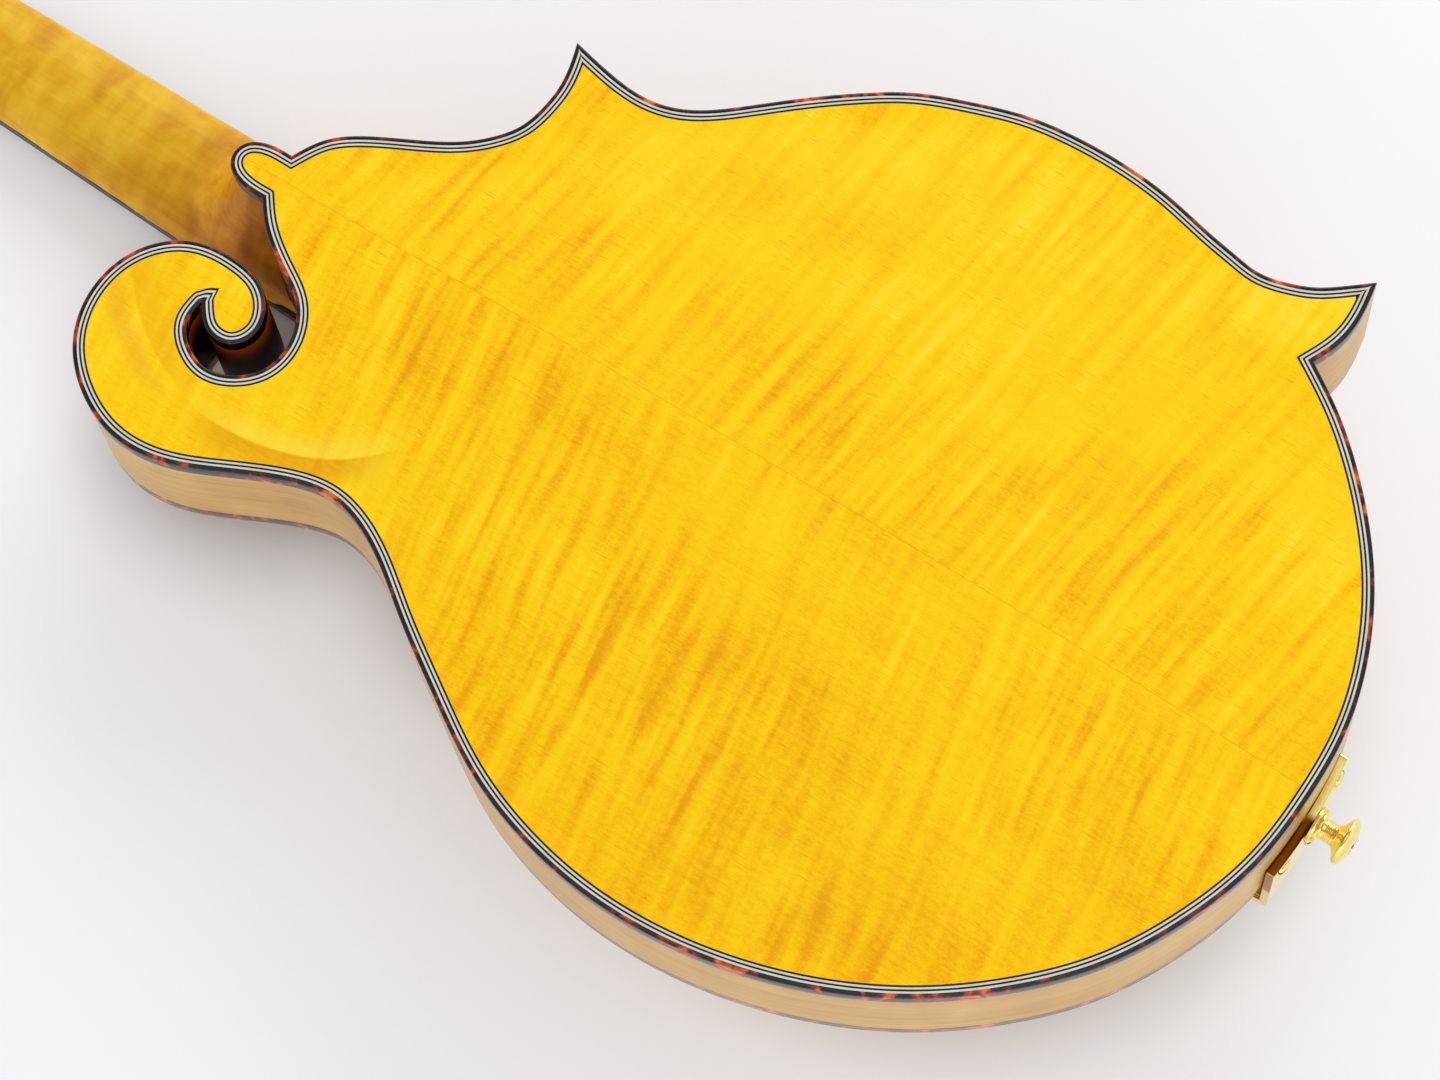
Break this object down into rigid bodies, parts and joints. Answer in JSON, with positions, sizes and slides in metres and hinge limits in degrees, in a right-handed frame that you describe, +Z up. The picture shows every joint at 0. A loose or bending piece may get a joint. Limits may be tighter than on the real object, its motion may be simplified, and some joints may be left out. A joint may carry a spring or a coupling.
{
  "type": "f-style mandolin",
  "caption": "Carved mandolin with a scroll, two points and arched plates, with geared tuners, an adjustable bridge and a tailpiece with a sliding cover.",
  "frame": {"origin": "on the surface that the mandolin lies on, strings down, under the middle of its box", "axes": "+X from the tail towards the headstock, +Y towards the scroll (bass) side, +Z up, out of the back"},
  "size_m": [0.6874, 0.2602, 0.1],
  "materials": {
    "maple_back": "amber-yellow flamed maple, satin lacquer",
    "maple_side": "honey maple, satin lacquer",
    "maple_neck": "golden brown maple, satin lacquer",
    "spruce": "carved spruce, satin lacquer",
    "spruce_inside": "bare spruce",
    "tortoise": "dark tortoise binding, polished",
    "purfling": "layered white and black lines, lacquered over",
    "ebony": "oiled ebony",
    "bone": "polished bone",
    "gold": "polished gold plate",
    "steel": "bare steel",
    "bronze": "wound phosphor bronze",
    "pearl": "pearl buttons on gold-plated shafts"
  },
  "bodies": {
    "mandolin": {"back_plate": "maple_back", "binding_back": "tortoise", "binding_top": "tortoise", "bridge_base": "ebony", "bridge_stud_bass": "gold", "bridge_stud_treble": "gold", "fingerboard": "ebony", "head_block": "spruce_inside", "headstock_overlay": "ebony", "lining_back": "spruce_inside", "lining_top": "spruce_inside", "neck": "maple_neck", "nut": "bone", "point_block_lower": "spruce_inside", "point_block_upper": "spruce_inside", "purfling_back": "purfling", "purfling_top": "purfling", "rim_bass": "maple_side", "rim_lower": "maple_side", "rim_shoulder": "maple_side", "rim_waist": "maple_side", "strap_button": "gold", "string_a1": "steel", "string_a2": "steel", "string_d1": "bronze", "string_d2": "bronze", "string_e1": "steel", "string_e2": "steel", "string_g1": "bronze", "string_g2": "bronze", "tail_block": "spruce_inside", "tailpiece_base": "gold", "tone_bar_bass": "spruce_inside", "tone_bar_treble": "spruce_inside", "top_plate": "spruce", "truss_rod": "steel", "truss_rod_cover": "ebony", "tuner_plate_bass": "gold", "tuner_plate_treble": "gold"},
    "tuner_post_bass_1": {"tuner_post_bass_1": "gold"},
    "tuner_post_bass_2": {"tuner_post_bass_2": "gold"},
    "tuner_post_bass_3": {"tuner_post_bass_3": "gold"},
    "tuner_post_bass_4": {"tuner_post_bass_4": "gold"},
    "tuner_post_treble_1": {"tuner_post_treble_1": "gold"},
    "tuner_post_treble_2": {"tuner_post_treble_2": "gold"},
    "tuner_post_treble_3": {"tuner_post_treble_3": "gold"},
    "tuner_post_treble_4": {"tuner_post_treble_4": "gold"},
    "tuner_button_bass_1": {"tuner_button_bass_1": "pearl"},
    "tuner_button_bass_2": {"tuner_button_bass_2": "pearl"},
    "tuner_button_bass_3": {"tuner_button_bass_3": "pearl"},
    "tuner_button_bass_4": {"tuner_button_bass_4": "pearl"},
    "tuner_button_treble_1": {"tuner_button_treble_1": "pearl"},
    "tuner_button_treble_2": {"tuner_button_treble_2": "pearl"},
    "tuner_button_treble_3": {"tuner_button_treble_3": "pearl"},
    "tuner_button_treble_4": {"tuner_button_treble_4": "pearl"},
    "bridge_saddle": {"bridge_saddle": "ebony"},
    "bridge_wheel_bass": {"bridge_wheel_bass": "gold"},
    "bridge_wheel_treble": {"bridge_wheel_treble": "gold"},
    "tailpiece_cover": {"tailpiece_cover": "gold"},
    "truss_rod_nut": {"truss_rod_nut": "steel"}
  },
  "joints": [
    {"name": "button_turn_bass_1", "type": "hinge", "parent": "mandolin", "child": "tuner_button_bass_1", "pos_m": [0.24337, 0.01335, 0.03429], "axis": [0, 1, 0], "continuous": true},
    {"name": "post_turn_bass_1", "type": "hinge", "parent": "mandolin", "child": "tuner_post_bass_1", "pos_m": [0.24022, 0.01935, 0.0131], "axis": [-0.2525, 0, 0.9676], "continuous": true},
    {"name": "button_turn_bass_2", "type": "hinge", "parent": "mandolin", "child": "tuner_button_bass_2", "pos_m": [0.26562, 0.01335, 0.04009], "axis": [0, 1, 0], "continuous": true},
    {"name": "post_turn_bass_2", "type": "hinge", "parent": "mandolin", "child": "tuner_post_bass_2", "pos_m": [0.26247, 0.01935, 0.01891], "axis": [-0.2525, 0, 0.9676], "continuous": true},
    {"name": "button_turn_bass_3", "type": "hinge", "parent": "mandolin", "child": "tuner_button_bass_3", "pos_m": [0.28788, 0.01335, 0.0459], "axis": [0, 1, 0], "continuous": true},
    {"name": "post_turn_bass_3", "type": "hinge", "parent": "mandolin", "child": "tuner_post_bass_3", "pos_m": [0.28472, 0.01935, 0.02472], "axis": [-0.2525, 0, 0.9676], "continuous": true},
    {"name": "button_turn_bass_4", "type": "hinge", "parent": "mandolin", "child": "tuner_button_bass_4", "pos_m": [0.31013, 0.01335, 0.05171], "axis": [0, 1, 0], "continuous": true},
    {"name": "post_turn_bass_4", "type": "hinge", "parent": "mandolin", "child": "tuner_post_bass_4", "pos_m": [0.30698, 0.01935, 0.03053], "axis": [-0.2525, 0, 0.9676], "continuous": true},
    {"name": "button_turn_treble_1", "type": "hinge", "parent": "mandolin", "child": "tuner_button_treble_1", "pos_m": [0.24337, -0.00665, 0.03429], "axis": [0, -1, 0], "continuous": true},
    {"name": "post_turn_treble_1", "type": "hinge", "parent": "mandolin", "child": "tuner_post_treble_1", "pos_m": [0.24022, -0.01265, 0.0131], "axis": [-0.2525, 0, 0.9676], "continuous": true},
    {"name": "button_turn_treble_2", "type": "hinge", "parent": "mandolin", "child": "tuner_button_treble_2", "pos_m": [0.26562, -0.00665, 0.04009], "axis": [0, -1, 0], "continuous": true},
    {"name": "post_turn_treble_2", "type": "hinge", "parent": "mandolin", "child": "tuner_post_treble_2", "pos_m": [0.26247, -0.01265, 0.01891], "axis": [-0.2525, 0, 0.9676], "continuous": true},
    {"name": "button_turn_treble_3", "type": "hinge", "parent": "mandolin", "child": "tuner_button_treble_3", "pos_m": [0.28788, -0.00665, 0.0459], "axis": [0, -1, 0], "continuous": true},
    {"name": "post_turn_treble_3", "type": "hinge", "parent": "mandolin", "child": "tuner_post_treble_3", "pos_m": [0.28472, -0.01265, 0.02472], "axis": [-0.2525, 0, 0.9676], "continuous": true},
    {"name": "button_turn_treble_4", "type": "hinge", "parent": "mandolin", "child": "tuner_button_treble_4", "pos_m": [0.31013, -0.00665, 0.05171], "axis": [0, -1, 0], "continuous": true},
    {"name": "post_turn_treble_4", "type": "hinge", "parent": "mandolin", "child": "tuner_post_treble_4", "pos_m": [0.30698, -0.01265, 0.03053], "axis": [-0.2525, 0, 0.9676], "continuous": true},
    {"name": "saddle_lift", "type": "slide", "parent": "mandolin", "child": "bridge_saddle", "axis": [-0.111, 0, -0.9938], "range_m": [-0.001, 0.0015], "deforming": ["string_a1", "string_a2", "string_d1", "string_d2", "string_e1", "string_e2", "string_g1", "string_g2"]},
    {"name": "wheel_turn_bass", "type": "hinge", "parent": "bridge_saddle", "child": "bridge_wheel_bass", "pos_m": [-0.14666, 0.03735, 0.00936], "axis": [-0.111, 0, -0.9938], "range_deg": [-515, 772]},
    {"name": "wheel_turn_treble", "type": "hinge", "parent": "bridge_saddle", "child": "bridge_wheel_treble", "pos_m": [-0.14666, -0.03065, 0.00936], "axis": [-0.111, 0, -0.9938], "range_deg": [-515, 772]},
    {"name": "cover_slide", "type": "slide", "parent": "mandolin", "child": "tailpiece_cover", "axis": [-0.9938, 0, 0.111], "range_m": [0, 0.025]},
    {"name": "truss_nut_turn", "type": "hinge", "parent": "mandolin", "child": "truss_rod_nut", "pos_m": [0.21527, 0.00335, 0.01374], "axis": [1, 0, -0.0065], "range_deg": [-360, 360]}
  ],
  "couplings": [
    {"joint": "post_turn_bass_1", "follows": "button_turn_bass_1", "ratio": -0.083333},
    {"joint": "post_turn_bass_2", "follows": "button_turn_bass_2", "ratio": -0.083333},
    {"joint": "post_turn_bass_3", "follows": "button_turn_bass_3", "ratio": -0.083333},
    {"joint": "post_turn_bass_4", "follows": "button_turn_bass_4", "ratio": -0.083333},
    {"joint": "post_turn_treble_1", "follows": "button_turn_treble_1", "ratio": 0.083333},
    {"joint": "post_turn_treble_2", "follows": "button_turn_treble_2", "ratio": 0.083333},
    {"joint": "post_turn_treble_3", "follows": "button_turn_treble_3", "ratio": 0.083333},
    {"joint": "post_turn_treble_4", "follows": "button_turn_treble_4", "ratio": 0.083333},
    {"joint": "wheel_turn_bass", "follows": "saddle_lift", "rad_per_m": 8976},
    {"joint": "wheel_turn_treble", "follows": "saddle_lift", "rad_per_m": 8976}
  ]
}
